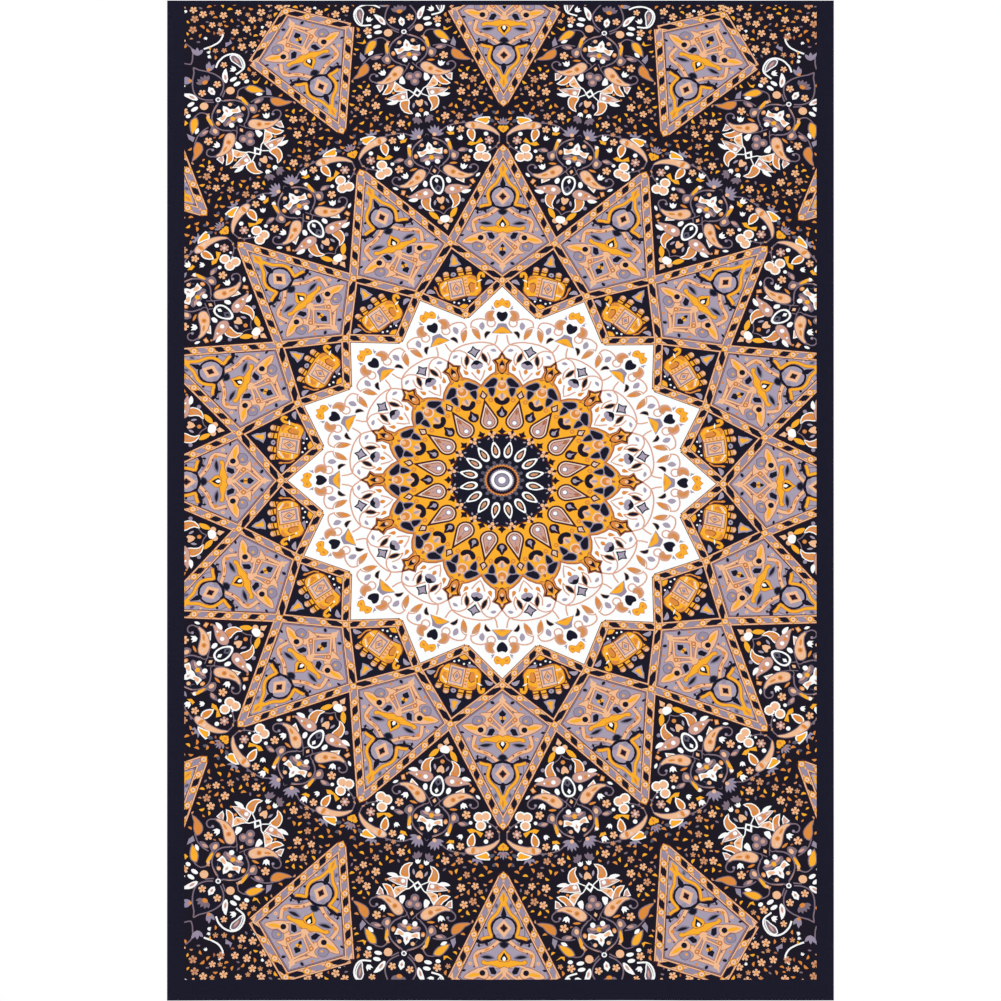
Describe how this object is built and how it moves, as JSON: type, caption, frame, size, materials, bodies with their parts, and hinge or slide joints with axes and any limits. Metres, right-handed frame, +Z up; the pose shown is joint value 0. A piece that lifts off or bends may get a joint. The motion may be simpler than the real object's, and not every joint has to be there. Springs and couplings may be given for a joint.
{
  "type": "tapestry wall hanging",
  "caption": "Large printed cotton wall hanging with a sewn rod sleeve behind its top edge, hemmed sides and foot, and a blank care label.",
  "frame": {"origin": "middle of the rod sleeve, on the line the hanging rod takes through it", "axes": "+Z up, the printed face looks along -Y, the wall lies towards +Y, +X runs across the cloth along the rod"},
  "size_m": [1.524, 0.0149, 2.286],
  "materials": {
    "printed_cotton": "matt pigment-printed cotton percale",
    "border_cotton": "matt navy cotton percale",
    "sewing_thread": "spun polyester sewing thread",
    "label_tape": "woven satin-edged tape"
  },
  "bodies": {
    "hanging": {"printed_panel": "printed_cotton", "rod_sleeve": "border_cotton", "bottom_hem": "border_cotton", "left_hem": "border_cotton", "right_hem": "border_cotton", "sleeve_seam_needle_thread": "sewing_thread", "sleeve_seam_bobbin_thread": "sewing_thread", "bottom_hem_needle_thread": "sewing_thread", "bottom_hem_bobbin_thread": "sewing_thread", "left_hem_needle_thread": "sewing_thread", "left_hem_bobbin_thread": "sewing_thread", "right_hem_needle_thread": "sewing_thread", "right_hem_bobbin_thread": "sewing_thread", "sleeve_bartacks": "sewing_thread", "label_stitching": "sewing_thread"},
    "label": {"care_label": "label_tape"}
  },
  "joints": [
    {"name": "label_flap", "type": "hinge", "parent": "hanging", "child": "label", "pos_m": [0.69, -0.0064, -0.0265], "axis": [1, 0, 0], "range_deg": [0, 120]}
  ]
}
